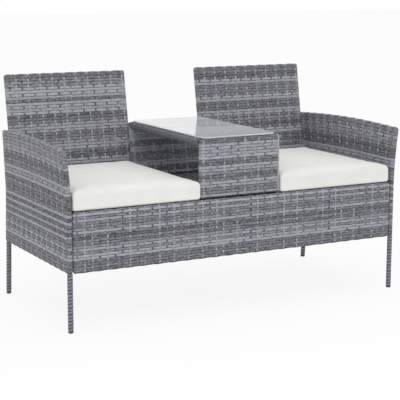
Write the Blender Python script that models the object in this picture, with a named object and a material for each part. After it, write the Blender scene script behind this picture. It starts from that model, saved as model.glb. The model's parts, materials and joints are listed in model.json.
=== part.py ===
"""Two-seat woven garden bench with a glass-topped console between the seats.

Lengths are metres, +Z is up and the bench faces -Y.  Points are written in the
bench's own layout, where Y = 0 is the centre line of the front legs.  The parent
empty then moves the whole bench so that its footprint is centred on the origin.
"""
import math

import bmesh
import bpy
from mathutils import Quaternion, Vector

for old in list(bpy.data.objects):
    bpy.data.objects.remove(old, do_unlink=True)

# Steel tube: outer radii and wall
TUBE_R = 0.008
TUBE_WALL = 0.0012
RAIL_R = 0.0078
ROD_R = 0.004
BEND = 0.010
TUBE_SIDES = 12
BORE_SIDES = 8

# Woven cover round the tubes, and the gaps between pieces
STRAND = 0.0012
FIT = 0.0006
CLEAR = 0.0003
COVER_R = TUBE_R + FIT + STRAND
RAIL_WRAP_R = 0.0128

# Legs and arms
LEG_X = 0.677
ARM_BOTTOM = 0.207
ARM_TOP = 0.634
ARM_BULGE = 0.011
ARM_FLARE = 0.017
FLARE_POWER = 1.7
ARM_REAR_OUT = 0.008
ARM_STATIONS = 8
POST_STATIONS = 4
ARM_TOE_IN = 0.005
REAR_TOP_SHIFT = 0.038
REAR_FOOT_SHIFT = 0.030
FOOT_H = 0.004
FOOT_R = 0.0092
FOOT_SOLE_R = 0.0069
FOOT_SOLE_H = 0.0016
FOOT_STEM_R = 0.0058
FOOT_STEM_H = 0.012

# Apron and seat
APRON_TOP = 0.422
APRON_GAP = 0.0005
APRON_ROD_OUT = 0.053
SEAT_FRAME_DEPTH = 0.5505
DECK_T = 0.002
DECK_INNER_GAP = 0.0015
DECK_OUTER_GAP = 0.0005

# Backs
BACK_TOP = 0.84
BACK_LEAN = math.radians(9.9)
BACK_CONSOLE_LAP = 0.010
BACK_ARM_GAP = 0.0075
BACK_ROD_INSET = 0.165

# Console and glass
CONSOLE_HALF = 0.167
CONSOLE_TOP = 0.6384
GLASS_SIDE_INSET = 0.012
GLASS_FRONT_INSET = 0.0037
GLASS_REAR_INSET = 0.0114
GLASS_T = 0.005
GLASS_CORNER_R = 0.025
GLASS_BEVEL = 0.001
PAD_R = 0.005
PAD_TOP_R = 0.004
PAD_H = 0.001
PAD_INSET = 0.06
PAD_IN = 0.003

# Cushions
CUSHION_CONSOLE_GAP = 0.005
CUSHION_ARM_GAP = 0.007
CUSHION_BACK_GAP = 0.006
CUSHION_FRONT_Y = 0.0
CUSHION_T = 0.065
CUSHION_CROWN = 0.010
CUSHION_DRAW = 0.004
CUSHION_CORNER_R = 0.018
CUSHION_EDGE_R = 0.015
CUSHION_LOW_EDGE_R = 0.008
CUSHION_SIDE_BULGE = 0.003
CORNER_STEPS = 4
SIDE_STEPS = 8
EDGE_STEPS = 3
CROWN_RINGS = (0.85, 0.65, 0.4, 0.15)
CROWN_POWER = 2.5

# Fasteners
BOLT_R = 0.003
BOLT_HEAD_R = 0.0055
BOLT_HEAD_H = 0.003
BOLT_CROWN_R = 0.0038
BOLT_CROWN_H = 0.0012
BOLT_REACH = 0.004
BOSS_R = 0.0048
BOSS_PROUD = 0.0018
BOSS_ROOT = 0.005
BOLT_SIDES = 8
ARM_BOLT_FRONT = 0.072
ARM_BOLT_REAR = 0.077
APRON_BOLT_INNER = 0.083
APRON_BOLT_OUTER = 0.109
BACK_BOLT_INSET = 0.06
CONSOLE_BOLT_INSET = 0.067

# Places that follow from the sizes above
SIDES = (("left", -1.0), ("right", 1.0))
RAIL_Z = APRON_TOP - COVER_R
FRONT_RAIL_Y = COVER_R + CLEAR + TUBE_R
REAR_RAIL_Y = FRONT_RAIL_Y + SEAT_FRAME_DEPTH
SIDE_RAIL_X = LEG_X - COVER_R - CLEAR - TUBE_R
RAIL_TOP_Z = RAIL_Z + TUBE_R + CLEAR
DECK_TOP_Z = RAIL_TOP_Z + DECK_T
KNEE_Y = REAR_RAIL_Y + TUBE_R - CLEAR + ARM_REAR_OUT
ARM_WIDTH = KNEE_Y + 2 * COVER_R
ARM_HEIGHT = ARM_TOP - ARM_BOTTOM
SEAT_V = RAIL_Z - ARM_BOTTOM
APRON_HALF = LEG_X - COVER_R - APRON_GAP

BACK_UP = Vector((0, math.sin(BACK_LEAN), math.cos(BACK_LEAN)))
BACK_OUT = Vector((0, math.cos(BACK_LEAN), -math.sin(BACK_LEAN)))
BACK_RIM = Vector((0, REAR_RAIL_Y, RAIL_Z)) + BACK_OUT * (TUBE_R + CLEAR + COVER_R)
BACK_RISE = (BACK_TOP - COVER_R * BACK_UP.z - BACK_RIM.z) / BACK_UP.z
BACK_REACH_Y = BACK_RIM.y + BACK_RISE * BACK_UP.y + COVER_R * BACK_UP.z
BENCH_SHIFT_Y = -(BACK_REACH_Y - COVER_R) / 2
BACK_INNER_X = CONSOLE_HALF - BACK_CONSOLE_LAP
BACK_OUTER_X = LEG_X - COVER_R - BACK_ARM_GAP
BACK_FACE = BACK_RIM - BACK_OUT * COVER_R
CUSHION_BASE_Z = DECK_TOP_Z + CLEAR
CUSHION_REAR_Y = BACK_FACE.y + (CUSHION_BASE_Z - BACK_FACE.z) * math.tan(BACK_LEAN) - CUSHION_BACK_GAP
CUSHION_DEPTH = CUSHION_REAR_Y - CUSHION_FRONT_Y
GLASS_HALF = CONSOLE_HALF - GLASS_SIDE_INSET
GLASS_FRONT_Y = FRONT_RAIL_Y - COVER_R + GLASS_FRONT_INSET
CONSOLE_LOW_Z = RAIL_TOP_Z + COVER_R
CONSOLE_RISE = (CONSOLE_TOP - COVER_R * BACK_UP.z - CONSOLE_LOW_Z) / BACK_UP.z
CONSOLE_REACH_Y = REAR_RAIL_Y + CONSOLE_RISE * BACK_UP.y + COVER_R
GLASS_REAR_Y = CONSOLE_REACH_Y - GLASS_REAR_INSET

# How finely round shapes are cut into facets
RIM_STEPS = 3
TURN_START = math.radians(13)
SHARP_FROM = math.radians(40)
WELD_INSET = 0.002
WEAVE = ("woven_grey", (0.20, 0.20, 0.215), 0.6, 0.0)
STEEL = ("powder_coated_steel", (0.05, 0.05, 0.055), 0.45, 0.0)
ZINC = ("zinc_plated_steel", (0.60, 0.60, 0.62), 0.35, 1.0)
BLACK = ("moulded_black", (0.02, 0.02, 0.02), 0.5, 0.0)
CLEAR_PVC = ("clear_bumper", (0.75, 0.76, 0.78), 0.3, 0.0)
GLASS = ("tempered_glass", (0.80, 0.88, 0.87), 0.03, 0.0)
CLOTH = ("off_white_cloth", (0.78, 0.78, 0.74), 0.9, 0.0)

bench = bpy.data.objects.new("bench", None)
bench.location = (0, BENCH_SHIFT_Y, 0)
bpy.context.scene.collection.objects.link(bench)


# Objects and materials
def material(finish):
    name, colour, roughness, metallic = finish
    found = bpy.data.materials.get(name)
    if found:
        return found
    made = bpy.data.materials.new(name)
    made.use_nodes = True
    shader = made.node_tree.nodes["Principled BSDF"]
    shader.inputs["Base Color"].default_value = (*colour, 1.0)
    shader.inputs["Roughness"].default_value = roughness
    shader.inputs["Metallic"].default_value = metallic
    return made


def add_object(name, bm, finish=STEEL, place=(0, 0, 0)):
    """Turn a bmesh into a named object of the bench."""
    mesh = bpy.data.meshes.new(name)
    bm.to_mesh(mesh)
    bm.free()
    mesh.shade_smooth()
    mesh.set_sharp_from_angle(angle=SHARP_FROM)
    mesh.materials.append(material(finish))
    made = bpy.data.objects.new(name, mesh)
    made.parent = bench
    made.location = place
    bpy.context.scene.collection.objects.link(made)
    return made


class Solid:
    """A piece made of overlapping solids less a set of overlapping cutters."""

    def __init__(self, name, finish):
        self.name = name
        self.finish = finish
        self.solids = bmesh.new()
        self.cutters = bmesh.new()

    def add(self, bm):
        gather(self.solids, bm)

    def cut(self, bm):
        gather(self.cutters, bm)

    def build(self):
        rough = add_object(self.name + "_rough", self.solids, self.finish)
        cutter = add_object(self.name + "_cutter", self.cutters)
        step = rough.modifiers.new("step", "BOOLEAN")
        step.operation = "DIFFERENCE"
        step.solver = "EXACT"
        step.use_self = True
        step.object = cutter
        bpy.context.view_layer.update()
        graph = bpy.context.evaluated_depsgraph_get()
        bm = bmesh.new()
        bm.from_object(rough, graph)
        for helper in (rough, cutter):
            bpy.data.objects.remove(helper, do_unlink=True)
        return add_object(self.name, bm, self.finish)


def gather(target, bm):
    """Move one bmesh into another."""
    mesh = bpy.data.meshes.new("gathered")
    bm.to_mesh(mesh)
    bm.free()
    target.from_mesh(mesh)
    bpy.data.meshes.remove(mesh)


def faced_out(bm):
    """Turn the faces round if they all look inwards."""
    if bm.calc_volume(signed=True) < 0:
        bmesh.ops.reverse_faces(bm, faces=bm.faces)
    return bm


# Swept tubes
def sweep_rings(bm, path, radius, sides, cyclic, normal, end_axis, start=0.0):
    """Rings of a tube along a path, cut square to the bisector at each corner."""
    count = len(path)
    runs = []
    for i in range(count if cyclic else count - 1):
        runs.append((path[(i + 1) % count] - path[i]).normalized())
    rings = []
    for i, point in enumerate(path):
        before = runs[i - 1] if (i or cyclic) else runs[0]
        after = runs[i] if (i < count - 1 or cyclic) else runs[-1]
        cut = (before + after).normalized()
        if end_axis and not cyclic and i in (0, count - 1):
            cut = end_axis
        side = (normal - normal.dot(before) * before).normalized()
        other = before.cross(side)
        ring = []
        for k in range(sides):
            angle = start + 2 * math.pi * k / sides
            offset = radius * (math.cos(angle) * side + math.sin(angle) * other)
            slide = -offset.dot(cut) / before.dot(cut)
            ring.append(bm.verts.new(point + offset + slide * before))
        rings.append(ring)
    return rings


def skin_rings(bm, rings, cyclic, inward=False):
    """Faces between rings that follow each other."""
    sides = len(rings[0])
    for i in range(len(rings) if cyclic else len(rings) - 1):
        lower = rings[i]
        upper = rings[(i + 1) % len(rings)]
        for k in range(sides):
            n = (k + 1) % sides
            face = [lower[k], lower[n], upper[n], upper[k]]
            bm.faces.new(face[::-1] if inward else face)


def tube(path, radius, sides=TUBE_SIDES, cyclic=False, normal=Vector((1, 0, 0)), start=0.0, end_axis=None):
    """A solid round bar along a path."""
    bm = bmesh.new()
    rings = sweep_rings(bm, path, radius, sides, cyclic, normal, end_axis, start)
    skin_rings(bm, rings, cyclic)
    if not cyclic:
        bm.faces.new(rings[0][::-1])
        bm.faces.new(rings[-1])
    return bm


def sleeve(path, outer, inner, normal=Vector((1, 0, 0)), end_axis=None):
    """An open-ended sleeve along a path."""
    bm = bmesh.new()
    out = sweep_rings(bm, path, outer, TUBE_SIDES, False, normal, end_axis)
    bore = sweep_rings(bm, path, inner, TUBE_SIDES, False, normal, end_axis)
    skin_rings(bm, out, False)
    skin_rings(bm, bore, False, inward=True)
    for k in range(TUBE_SIDES):
        n = (k + 1) % TUBE_SIDES
        bm.faces.new([out[0][n], out[0][k], bore[0][k], bore[0][n]])
        bm.faces.new([out[-1][k], out[-1][n], bore[-1][n], bore[-1][k]])
    return bm


def frame(name, runs, rods=(), end_axis=None):
    """Tubes welded into one hollow frame.

    Each run is (path, radius, closed, normal) and each rod (path, normal).  Ends of
    the later runs and of the rods lie inside the tubes that they are welded to, and
    the open ends of the first run are cut square to end_axis.
    """
    made = Solid(name, STEEL)
    for index, (path, radius, closed, normal) in enumerate(runs):
        bore = path
        if index and not closed:
            path = bore = lengthened(path, -WELD_INSET)
        elif not closed:
            bore = lengthened(path, TUBE_R)
        start = TURN_START if index else 0.0
        made.add(tube(path, radius, TUBE_SIDES, closed, normal, start, None if index else end_axis))
        made.cut(tube(bore, radius - TUBE_WALL, BORE_SIDES, closed, normal, start))
    for path, normal in rods:
        made.add(tube(lengthened(path, -WELD_INSET), ROD_R, BORE_SIDES, False, normal, TURN_START))
    return made


def lengthened(path, extra):
    """The same path with each end drawn out, or back where extra is negative."""
    start = path[0] + (path[0] - path[1]).normalized() * extra
    end = path[-1] + (path[-1] - path[-2]).normalized() * extra
    return [start] + path[1:-1] + [end]


# Turned pieces
def turn(profile, origin, axis, sides):
    """Turn (radius, distance) points round an axis and close both ends."""
    side = axis.orthogonal().normalized()
    side.rotate(Quaternion(axis, TURN_START))
    other = axis.cross(side)
    bm = bmesh.new()
    rings = []
    for radius, along in profile:
        centre = origin + axis * along
        ring = []
        for k in range(sides):
            angle = 2 * math.pi * k / sides
            ring.append(bm.verts.new(centre + radius * (math.cos(angle) * side + math.sin(angle) * other)))
        rings.append(ring)
    skin_rings(bm, rings, False)
    bm.faces.new(rings[0][::-1])
    bm.faces.new(rings[-1])
    return bm


def plug(origin, axis, radius, start, end):
    """A plain round bar along an axis."""
    return turn([(radius, start), (radius, end)], origin, axis, BOLT_SIDES)


# Woven covers: a slab with round rims, hollow for the tubes inside
def rim_stations(length, radius, inner=()):
    """Places across a cover that make its two edges round."""
    turns = [math.pi / 2 * k / RIM_STEPS for k in range(RIM_STEPS + 1)]
    near = [radius * (1 - math.cos(a)) for a in turns]
    far = [length - value for value in reversed(near)]
    between = [value for value in inner if near[-1] < value < far[0]]
    return near + between + far


def half_thickness(u, v, width, height, radius):
    rim = min(u, width - u, v, height - v)
    if rim >= radius:
        return radius
    return math.sqrt(max(radius ** 2 - (radius - rim) ** 2, 0.0))


def round_corner(u, v, width, height, radius):
    """Draw the corners of the outline in to a round of the rim's own radius."""
    across = max(radius - u, 0.0) - max(u - (width - radius), 0.0)
    upward = max(radius - v, 0.0) - max(v - (height - radius), 0.0)
    if across and upward:
        shrink = 1 - max(abs(across), abs(upward)) / math.hypot(across, upward)
        return u + across * shrink, v + upward * shrink
    return u, v


def slab(width, height, radius, place, inner_u=(), inner_v=(), inset=0.0):
    """A closed slab whose rims are half round; place maps (u, v, w) to a point."""
    wide = width - 2 * inset
    tall = height - 2 * inset
    thick = radius - inset
    us = rim_stations(wide, thick, [u - inset for u in inner_u])
    vs = rim_stations(tall, thick, [v - inset for v in inner_v])
    last_i = len(us) - 1
    last_j = len(vs) - 1
    bm = bmesh.new()
    front = {}
    rear = {}
    for i, u in enumerate(us):
        for j, v in enumerate(vs):
            half = half_thickness(u, v, wide, tall, thick)
            at_u, at_v = round_corner(u, v, wide, tall, thick)
            front[i, j] = bm.verts.new(place(at_u + inset, at_v + inset, -half))
            rear[i, j] = front[i, j]
            if 0 < i < last_i and 0 < j < last_j:
                rear[i, j] = bm.verts.new(place(at_u + inset, at_v + inset, half))
    for i in range(last_i):
        for j in range(last_j):
            corners = [(i, j), (i + 1, j), (i + 1, j + 1), (i, j + 1)]
            if i in (0, last_i - 1) and j in (0, last_j - 1):
                if (i == 0) != (j == 0):
                    corners = corners[1:] + corners[:1]
                pieces = [corners[:3], [corners[0]] + corners[2:]]
            else:
                pieces = [corners]
            for piece in pieces:
                bm.faces.new([front[key] for key in piece])
                bm.faces.new([rear[key] for key in reversed(piece)])
    return faced_out(bm)


def cover(name, width, height, place, inner_u=(), inner_v=()):
    """A woven cover, open inside for the tube frame."""
    made = Solid(name, WEAVE)
    made.add(slab(width, height, COVER_R, place, inner_u, inner_v))
    made.cut(slab(width, height, COVER_R, place, inner_u, inner_v, STRAND))
    return made


def flat_place(origin, across, up, out):
    return lambda u, v, w: origin + across * u + up * v + out * w


X_AXIS = Vector((1, 0, 0))
Y_AXIS = Vector((0, 1, 0))
Z_AXIS = Vector((0, 0, 1))


# Bolted joints: a bolt through one tube into a threaded boss on the next
def fasten(name, near, far, wrap, start, end, end_r=TUBE_R):
    """Drill the near tube, weld a boss on the far one and open its cover for it."""
    axis = (end - start).normalized()
    hole_r = BOLT_R + CLEAR
    boss_top = end_r + BOSS_PROUD
    near.cut(plug(start, axis, hole_r, -2 * TUBE_R, 2 * TUBE_R))
    far.add(plug(end, axis, BOSS_R, -boss_top, -BOSS_ROOT))
    far.cut(plug(end, axis, hole_r, -2 * boss_top, 0))
    wrap.cut(plug(end, axis, BOSS_R + CLEAR, -2 * COVER_R, -BOSS_ROOT))
    seat = -(TUBE_R + CLEAR)
    head = seat - BOLT_HEAD_H
    tip = (end - start).length + BOLT_REACH
    profile = [(BOLT_CROWN_R, head), (BOLT_HEAD_R, head + BOLT_CROWN_H),
               (BOLT_HEAD_R, seat), (BOLT_R, seat), (BOLT_R, tip)]
    add_object(name, turn(profile, Vector((0, 0, 0)), axis, BOLT_SIDES), ZINC, start)


# Arms: one bent tube makes both legs and the arm rail
def rear_shift(z):
    """How far the rear post stands behind its knee at seat height."""
    if z > RAIL_Z:
        return REAR_TOP_SHIFT * (z - RAIL_Z) / (ARM_TOP - RAIL_Z)
    return REAR_FOOT_SHIFT * (RAIL_Z - z) / RAIL_Z


def ramp(value, start, end):
    return min(max((value - start) / (end - start), 0.0), 1.0)


def arm_place(side):
    """Maps a place on the flat arm panel to its real, flared place."""
    rim = 2 * COVER_R

    def middle(u, v):
        bulge = ARM_BULGE * math.sin(math.pi * ramp(u, 0, ARM_WIDTH))
        z = ARM_BOTTOM + v + bulge * ramp(v, SEAT_V, ARM_HEIGHT - rim)
        y = u - COVER_R + rear_shift(z) * ramp(u, rim, ARM_WIDTH - rim)
        lift = ramp(v, SEAT_V, ARM_HEIGHT)
        rearward = ramp(u, 0, ARM_WIDTH)
        flare = ARM_FLARE * lift ** FLARE_POWER * (1 - rearward) - ARM_TOE_IN * lift * rearward
        return Vector((side * (LEG_X + flare), y, z))

    def place(u, v, w):
        along = middle(u + STRAND, v) - middle(u - STRAND, v)
        up = middle(u, v + STRAND) - middle(u, v - STRAND)
        return middle(u, v) + along.cross(up).normalized() * (side * w)
    return place


def spread(start, end, count):
    """Evenly spaced values from start to end."""
    return [start + (end - start) * k / count for k in range(count + 1)]


def make_arm(side_name, side):
    place = arm_place(side)
    front_u = COVER_R
    rear_u = ARM_WIDTH - COVER_R
    top_v = ARM_HEIGHT - COVER_R
    foot_v = FOOT_H + CLEAR - ARM_BOTTOM
    rises = spread(SEAT_V, top_v - BEND, POST_STATIONS)
    along = spread(front_u + BEND, rear_u - BEND, ARM_STATIONS)
    path = [place(front_u, foot_v, 0)]
    path += [place(front_u, v, 0) for v in rises]
    path += [place(u, top_v, 0) for u in along]
    path += [place(rear_u, v, 0) for v in reversed(rises)]
    path += [place(rear_u, foot_v, 0)]
    rail_path = [place(front_u, SEAT_V, 0), place(rear_u, SEAT_V, 0)]
    low_path = [place(front_u, COVER_R, 0), place(rear_u, COVER_R, 0)]
    posts = frame(side_name + "_arm_frame", [
        (path, TUBE_R, False, X_AXIS),
        (rail_path, RAIL_R, False, X_AXIS),
        (low_path, RAIL_R, False, X_AXIS)], end_axis=Z_AXIS)
    wrap = cover(side_name + "_arm_cover", ARM_WIDTH, ARM_HEIGHT, place, along, rises)
    for end_name, u in (("front", front_u), ("rear", rear_u)):
        below = place(u, -2 * COVER_R, 0)
        above = place(u, 2 * COVER_R, 0)
        wrap.cut(tube([below, above], TUBE_R + FIT + CLEAR, start=TURN_START))
        foot = place(u, foot_v, 0)
        sock = [foot + Vector((0, 0, CLEAR)), place(u, -CLEAR, 0)]
        add_object(side_name + "_" + end_name + "_leg_wrap",
                   sleeve(sock, COVER_R, TUBE_R + FIT, end_axis=Z_AXIS), WEAVE)
        make_foot(side_name + "_" + end_name + "_foot", foot, above - below)
    return posts, wrap


def make_foot(name, tube_end, lean):
    """A plastic glide: a flat cap under the tube and a stem inside it."""
    drift = Vector((lean.x, lean.y, 0)) / lean.z
    profile = [(FOOT_SOLE_R, 0), (FOOT_R, FOOT_SOLE_H), (FOOT_R, FOOT_H),
               (FOOT_STEM_R, FOOT_H), (FOOT_STEM_R, FOOT_H + FOOT_STEM_H)]
    bm = turn(profile, Vector((0, 0, 0)), Z_AXIS, TUBE_SIDES)
    for vert in bm.verts:
        vert.co += drift * max(vert.co.z - FOOT_H, 0.0)
    add_object(name, bm, BLACK, (tube_end.x, tube_end.y, 0))


def rectangle(low_x, high_x, low, high, at):
    """A rectangle with bent corners; at(x, other) gives each point."""
    near_x = low_x + BEND
    far_x = high_x - BEND
    near = low + BEND
    far = high - BEND
    return [at(near_x, low), at(far_x, low), at(high_x, near), at(high_x, far),
            at(far_x, high), at(near_x, high), at(low_x, far), at(low_x, near)]


# The panels that stand between the arms
def make_apron():
    half = APRON_HALF - COVER_R
    low = ARM_BOTTOM + COVER_R
    ring = rectangle(-half, half, low, RAIL_Z, lambda x, z: Vector((x, 0, z)))
    rod_x = CONSOLE_HALF + APRON_ROD_OUT
    rods = [([Vector((side * rod_x, 0, low)), Vector((side * rod_x, 0, RAIL_Z))], Y_AXIS)
            for _, side in SIDES]
    posts = frame("apron_frame", [(ring, TUBE_R, True, Y_AXIS)], rods)
    place = flat_place(Vector((-APRON_HALF, 0, ARM_BOTTOM)), X_AXIS, Z_AXIS, Y_AXIS)
    wrap = cover("apron_cover", 2 * APRON_HALF, APRON_TOP - ARM_BOTTOM, place)
    return posts, wrap


def make_seat_frame():
    ring = rectangle(-SIDE_RAIL_X, SIDE_RAIL_X, FRONT_RAIL_Y, REAR_RAIL_Y,
                     lambda x, y: Vector((x, y, RAIL_Z)))
    middle = (CONSOLE_HALF + SIDE_RAIL_X) / 2
    runs = [(ring, TUBE_R, True, Z_AXIS)]
    for x in (-middle, -CONSOLE_HALF, CONSOLE_HALF, middle):
        rail = [Vector((x, FRONT_RAIL_Y, RAIL_Z)), Vector((x, REAR_RAIL_Y, RAIL_Z))]
        runs.append((rail, RAIL_R, False, Z_AXIS))
    return frame("seat_frame", runs)


def make_deck(name, low_x, high_x, low_y, high_y):
    """A sheet of webbing that lies on the rails."""
    bm = bmesh.new()
    bmesh.ops.create_cube(bm, size=1.0)
    size = Vector((high_x - low_x, high_y - low_y, DECK_T))
    centre = Vector((low_x + high_x, low_y + high_y, RAIL_TOP_Z + DECK_TOP_Z)) / 2
    for vert in bm.verts:
        vert.co = Vector((vert.co.x * size.x, vert.co.y * size.y, vert.co.z * size.z))
    add_object(name, bm, WEAVE, centre)


def make_decks():
    inner = CONSOLE_HALF + DECK_INNER_GAP
    outer = SIDE_RAIL_X + TUBE_R - DECK_OUTER_GAP
    front = FRONT_RAIL_Y - TUBE_R
    rear = REAR_RAIL_Y + TUBE_R
    make_deck("left_seat_deck", -outer, -inner, front, rear)
    make_deck("right_seat_deck", inner, outer, front, rear)
    floor_x = CONSOLE_HALF - DECK_INNER_GAP
    floor_front = FRONT_RAIL_Y + COVER_R + CLEAR
    floor_rear = REAR_RAIL_Y - COVER_R - CLEAR
    make_deck("storage_floor", -floor_x, floor_x, floor_front, floor_rear)


def make_back(side_name, side):
    low_x = min(side * BACK_INNER_X, side * BACK_OUTER_X)
    high_x = max(side * BACK_INNER_X, side * BACK_OUTER_X)

    def at(x, rise):
        return BACK_RIM + X_AXIS * x + BACK_UP * rise
    ring = rectangle(low_x + COVER_R, high_x - COVER_R, 0, BACK_RISE, at)
    rods = [([at(x, 0), at(x, BACK_RISE)], X_AXIS)
            for x in (low_x + BACK_ROD_INSET, high_x - BACK_ROD_INSET)]
    posts = frame(side_name + "_back_frame", [(ring, TUBE_R, True, BACK_OUT)], rods)
    place = flat_place(at(low_x, -COVER_R), X_AXIS, BACK_UP, BACK_OUT)
    wrap = cover(side_name + "_back_cover", high_x - low_x, BACK_RISE + 2 * COVER_R, place)
    return posts, wrap


# Console
def make_console():
    """Two end panels, of which the rear one leans with the backs, and a rail between them on each side."""
    post_x = CONSOLE_HALF - COVER_R
    rail_x = CONSOLE_HALF - RAIL_WRAP_R
    rail_z = CONSOLE_TOP - RAIL_WRAP_R
    front_rise = CONSOLE_TOP - COVER_R - CONSOLE_LOW_Z
    rear_rail_y = REAR_RAIL_Y + (rail_z - CONSOLE_LOW_Z) * math.tan(BACK_LEAN)
    ends = (("front", FRONT_RAIL_Y, FRONT_RAIL_Y, front_rise, Z_AXIS, Y_AXIS),
            ("rear", REAR_RAIL_Y, rear_rail_y, CONSOLE_RISE, BACK_UP, BACK_OUT))
    runs = []
    wraps = []
    for end_name, foot_y, rail_y, rise, up, out in ends:
        def at(x, height, foot_y=foot_y, up=up):
            return Vector((x, foot_y, CONSOLE_LOW_Z)) + up * height
        runs.append((rectangle(-post_x, post_x, 0, rise, at), TUBE_R, True, out))
        place = flat_place(at(-CONSOLE_HALF, -COVER_R), X_AXIS, up, out)
        wrap = cover("console_" + end_name + "_cover", 2 * CONSOLE_HALF, rise + 2 * COVER_R, place)
        inward = 1 if end_name == "front" else -1
        for _, side in SIDES:
            inside = Vector((side * rail_x, rail_y + inward * COVER_R / 3, rail_z))
            outside = Vector((side * rail_x, rail_y + inward * 2 * COVER_R, rail_z))
            wrap.cut(tube([inside, outside], TUBE_R + FIT + CLEAR, start=TURN_START))
        wraps.append(wrap)
    for _, side in SIDES:
        rail = [Vector((side * rail_x, y, rail_z)) for y in (FRONT_RAIL_Y, rear_rail_y)]
        runs.insert(1, (rail, RAIL_R, False, X_AXIS))
    posts = frame("console_frame", runs)
    wrap_end = rear_rail_y - COVER_R / BACK_UP.z - RAIL_WRAP_R * math.tan(BACK_LEAN) - CLEAR
    for side_name, side in SIDES:
        start = Vector((side * rail_x, FRONT_RAIL_Y + COVER_R + CLEAR, rail_z))
        end = Vector((side * rail_x, wrap_end, rail_z))
        add_object("console_" + side_name + "_rail_wrap",
                   sleeve([start, end], RAIL_WRAP_R, RAIL_R + FIT), WEAVE)
    return posts, wraps


def make_glass():
    """Tempered glass that lies loose on four bumpers."""
    pad_z = CONSOLE_TOP + CLEAR
    glass_z = pad_z + PAD_H + CLEAR
    bm = bmesh.new()
    bmesh.ops.create_cube(bm, size=1.0)
    size = Vector((2 * GLASS_HALF, GLASS_REAR_Y - GLASS_FRONT_Y, GLASS_T))
    for vert in bm.verts:
        vert.co = Vector((vert.co.x * size.x, vert.co.y * size.y, (vert.co.z + 0.5) * size.z))
    upright = [e for e in bm.edges if abs(e.verts[0].co.z - e.verts[1].co.z) > GLASS_T / 2]
    bmesh.ops.bevel(bm, geom=upright, offset=GLASS_CORNER_R, segments=6, profile=0.5, affect="EDGES")
    rims = [e for e in bm.edges if e.calc_face_angle(0) > 1 and
            abs(e.verts[0].co.z - e.verts[1].co.z) < GLASS_T / 2]
    bmesh.ops.bevel(bm, geom=rims, offset=GLASS_BEVEL, segments=1, profile=0.5, affect="EDGES")
    centre_y = (GLASS_FRONT_Y + GLASS_REAR_Y) / 2
    add_object("glass_top", bm, GLASS, (0, centre_y, glass_z))
    pad_x = CONSOLE_HALF - RAIL_WRAP_R - PAD_IN
    for end_name, y in (("front", GLASS_FRONT_Y + PAD_INSET), ("rear", GLASS_REAR_Y - PAD_INSET)):
        for side_name, side in SIDES:
            pad = turn([(PAD_R, 0), (PAD_TOP_R, PAD_H)], Vector((0, 0, 0)), Z_AXIS, TUBE_SIDES)
            add_object("glass_bumper_" + end_name + "_" + side_name, pad, CLEAR_PVC,
                       (side * pad_x, y, pad_z))


# Cushions
def cushion_outline(width, depth):
    """A rectangle with round corners whose sides are drawn in between them."""
    points = []
    radius = CUSHION_CORNER_R
    corners = ((1, 1), (-1, 1), (-1, -1), (1, -1))
    for quarter, (sx, sy) in enumerate(corners):
        centre = Vector((sx * (width / 2 - radius), sy * (depth / 2 - radius), 0))
        for k in range(CORNER_STEPS + 1):
            angle = math.pi / 2 * (quarter + k / CORNER_STEPS)
            points.append(centre + radius * Vector((math.cos(angle), math.sin(angle), 0)))
        outward = (points[-1] - centre).normalized()
        next_x, next_y = corners[(quarter + 1) % 4]
        goal = Vector((next_x * (width / 2 - radius), next_y * (depth / 2 - radius), 0)) + radius * outward
        start = points[-1]
        for k in range(1, SIDE_STEPS):
            t = k / SIDE_STEPS
            points.append(start.lerp(goal, t) - outward * CUSHION_DRAW * math.sin(math.pi * t))
    return points


def cushion_sections():
    """Places up the cushion's side, each an inset from the outline and a height."""
    def edge(radius):
        return [(radius * (1 - math.sin(angle)), radius * (1 - math.cos(angle)))
                for angle in spread(0, math.pi / 2, EDGE_STEPS)]
    lower = edge(CUSHION_LOW_EDGE_R)
    upper = [(inset, CUSHION_T - z) for inset, z in reversed(edge(CUSHION_EDGE_R))]
    return lower + [(-CUSHION_SIDE_BULGE, CUSHION_T / 2)] + upper


def make_cushion(side_name, side):
    """A crowned block with round edges, flat where it rests on the deck."""
    low_x = CONSOLE_HALF + CUSHION_CONSOLE_GAP
    high_x = LEG_X - COVER_R - CUSHION_ARM_GAP
    width = high_x - low_x
    outline = cushion_outline(width, CUSHION_DEPTH)
    bm = bmesh.new()

    def ring(inset, share, z):
        along = share * (1 - 2 * inset / width)
        deep = share * (1 - 2 * inset / CUSHION_DEPTH)
        return [bm.verts.new((p.x * along, p.y * deep, z)) for p in outline]
    rings = [ring(inset, 1.0, z) for inset, z in cushion_sections()]
    for share in CROWN_RINGS:
        rise = CUSHION_CROWN * (1 - share ** CROWN_POWER)
        rings.append(ring(CUSHION_EDGE_R, share, CUSHION_T + rise))
    skin_rings(bm, rings, False)
    peak = bm.verts.new((0, 0, CUSHION_T + CUSHION_CROWN))
    for last, following in zip(rings[-1], rings[-1][1:] + rings[-1][:1]):
        bm.faces.new([last, following, peak])
    bm.faces.new(rings[0][::-1])
    centre = Vector((side * (low_x + high_x) / 2, (CUSHION_FRONT_Y + CUSHION_REAR_Y) / 2, CUSHION_BASE_Z))
    add_object(side_name + "_cushion", bm, CLOTH, centre)


# Assembly
arms = [make_arm(side_name, side) for side_name, side in SIDES]
apron, apron_wrap = make_apron()
seat = make_seat_frame()
make_decks()
backs = [make_back(side_name, side) for side_name, side in SIDES]
console, console_wraps = make_console()
make_glass()
for side_name, side in SIDES:
    make_cushion(side_name, side)

for (posts, wrap), (side_name, side) in zip(arms, SIDES):
    for end_name, y in (("front", FRONT_RAIL_Y + ARM_BOLT_FRONT), ("rear", REAR_RAIL_Y - ARM_BOLT_REAR)):
        fasten("arm_bolt_" + side_name + "_" + end_name, seat, posts, wrap,
               Vector((side * SIDE_RAIL_X, y, RAIL_Z)), Vector((side * LEG_X, y, RAIL_Z)), RAIL_R)

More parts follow.
